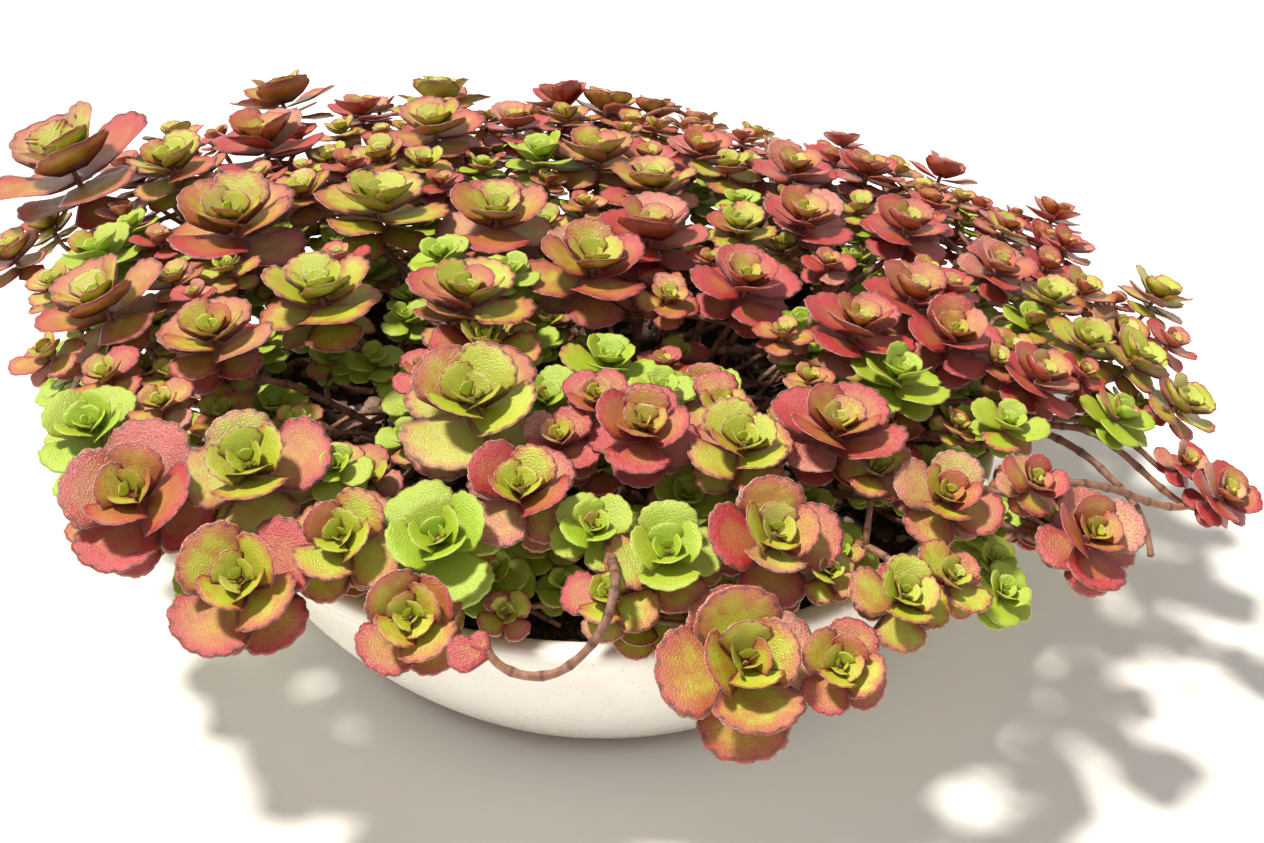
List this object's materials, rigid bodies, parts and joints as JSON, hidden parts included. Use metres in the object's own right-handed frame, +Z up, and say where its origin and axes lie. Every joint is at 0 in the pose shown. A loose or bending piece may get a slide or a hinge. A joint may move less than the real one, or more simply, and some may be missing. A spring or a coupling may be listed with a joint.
{
  "type": "potted sedum",
  "caption": "Low spreading sedum with rosettes of fleshy scalloped lime and pink leaves on creeping stems, growing in soil in a shallow round bowl pot.",
  "frame": {"origin": "middle of the pot's flat foot, on the surface that it stands on", "axes": "+Z up out of the pot, -Y towards the front of the clump"},
  "size_m": [0.4777, 0.4308, 0.1532],
  "materials": {
    "pot": "satin",
    "soil": "matte",
    "leaf_green": "satin",
    "leaf_lime": "satin",
    "leaf_pink": "satin",
    "leaf_red": "satin"
  },
  "bodies": {
    "root": {"pot": "pot", "soil": "soil", "leafy_stem_01": "leaf_pink", "leafy_stem_02": "leaf_lime", "leafy_stem_03": "leaf_red", "leafy_stem_04": "leaf_pink", "leafy_stem_05": "leaf_pink", "leafy_stem_06": "leaf_pink", "leafy_stem_07": "leaf_pink", "leafy_stem_08": "leaf_pink", "leafy_stem_09": "leaf_lime", "leafy_stem_10": "leaf_red", "leafy_stem_11": "leaf_lime", "leafy_stem_12": "leaf_pink", "leafy_stem_13": "leaf_lime", "leafy_stem_14": "leaf_lime", "leafy_stem_15": "leaf_pink", "leafy_stem_16": "leaf_green", "leafy_stem_17": "leaf_red", "leafy_stem_18": "leaf_pink", "leafy_stem_19": "leaf_pink", "leafy_stem_20": "leaf_pink", "leafy_stem_21": "leaf_red", "leafy_stem_22": "leaf_pink", "leafy_stem_23": "leaf_lime", "leafy_stem_24": "leaf_red", "leafy_stem_25": "leaf_lime", "leafy_stem_26": "leaf_red", "leafy_stem_27": "leaf_red", "leafy_stem_28": "leaf_red", "leafy_stem_29": "leaf_red", "leafy_stem_30": "leaf_red", "leafy_stem_31": "leaf_red", "leafy_stem_32": "leaf_red", "leafy_stem_33": "leaf_red", "leafy_stem_34": "leaf_red", "leafy_stem_35": "leaf_red", "leafy_stem_36": "leaf_lime", "leafy_stem_37": "leaf_lime", "leafy_stem_38": "leaf_red", "leafy_stem_39": "leaf_lime", "leafy_stem_40": "leaf_red", "leafy_stem_41": "leaf_green", "leafy_stem_42": "leaf_green", "leafy_stem_43": "leaf_red", "leafy_stem_44": "leaf_lime", "leafy_stem_45": "leaf_red", "leafy_stem_46": "leaf_lime", "leafy_stem_47": "leaf_pink", "leafy_stem_48": "leaf_red", "leafy_stem_49": "leaf_lime", "leafy_stem_50": "leaf_lime", "leafy_stem_51": "leaf_green", "leafy_stem_52": "leaf_green", "leafy_stem_53": "leaf_pink", "leafy_stem_54": "leaf_pink", "leafy_stem_55": "leaf_lime", "leafy_stem_56": "leaf_lime", "leafy_stem_57": "leaf_pink", "leafy_stem_58": "leaf_red"}
  },
  "joints": []
}
